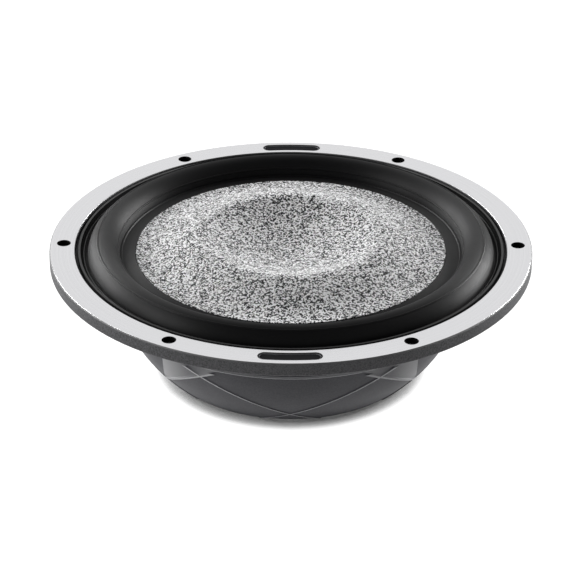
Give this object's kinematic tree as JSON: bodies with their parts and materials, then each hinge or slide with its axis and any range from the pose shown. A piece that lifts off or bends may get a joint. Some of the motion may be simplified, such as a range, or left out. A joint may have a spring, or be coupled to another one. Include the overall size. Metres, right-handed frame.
{
  "type": "car subwoofer speaker",
  "caption": "Shallow round car subwoofer: flat trim ring, rubber half-roll surround, ridged cone, cast basket with a closed bowl, ferrite motor and push terminals.",
  "frame": {"origin": "centre of the bolt circle, on the rear face of the flange that seats on the panel", "axes": "+Z along the driver's axis, out of the front of the cone; +Y towards the terminals"},
  "size_m": [0.264, 0.264, 0.0789],
  "materials": {
    "machined_aluminium": "fine-turned face, grainy dark paint on its sides",
    "dark_plate": "satin dark, bright bevelled edge",
    "grey_rubber": "satin",
    "black_rubber": "satin",
    "fibre_cone": "fibre speckle under clear resin",
    "black_plastic": "moulded",
    "amber_film": "polyimide film",
    "copper_wire": "enamelled winding",
    "woven_cloth": "resin-treated weave",
    "painted_casting": "satin dark grey powder coat",
    "foam_gasket": "closed-cell foam",
    "zinc_screws": "zinc plated",
    "plated_steel": "black zinc plated, turned",
    "ferrite": "ground ferrite",
    "bare_aluminium": "turned",
    "black_mesh": "black",
    "gold_plate": "gold plated",
    "red_plastic": "moulded",
    "spring_steel": "bright",
    "braid": "tinned copper braid"
  },
  "bodies": {
    "frame": {"trim_ring": "machined_aluminium", "badge_inlay_front": "dark_plate", "badge_inlay_rear": "dark_plate", "surround_retainer": "grey_rubber", "surround": "black_rubber", "spider": "woven_cloth", "basket": "painted_casting", "flange_gasket": "foam_gasket", "motor_screws": "zinc_screws", "top_plate": "plated_steel", "magnet": "ferrite", "yoke": "plated_steel", "shorting_ring": "bare_aluminium", "vent_screen": "black_mesh", "terminal_block": "black_plastic", "terminal_posts": "gold_plate", "terminal_spring_positive": "spring_steel", "terminal_spring_negative": "spring_steel", "terminal_screws": "zinc_screws", "lead_positive": "braid", "lead_negative": "braid"},
    "cone_assembly": {"cone": "fibre_cone", "coil_coupler": "black_plastic", "coil_former": "amber_film", "voice_coil": "copper_wire"},
    "cap_positive": {"push_cap_positive": "red_plastic"},
    "cap_negative": {"push_cap_negative": "black_plastic"}
  },
  "joints": [
    {"name": "cone_travel", "type": "slide", "parent": "frame", "child": "cone_assembly", "axis": [0, 0, 1], "range_m": [-0.009, 0.009], "stiffness_N_per_m": 4500, "deforming": ["surround", "spider", "lead_positive", "lead_negative"]},
    {"name": "press_positive", "type": "slide", "parent": "frame", "child": "cap_positive", "axis": [0, -1, 0], "range_m": [0, 0.002], "stiffness_N_per_m": 1500, "deforming": ["terminal_spring_positive"]},
    {"name": "press_negative", "type": "slide", "parent": "frame", "child": "cap_negative", "axis": [0, -1, 0], "range_m": [0, 0.002], "stiffness_N_per_m": 1500, "deforming": ["terminal_spring_negative"]}
  ]
}
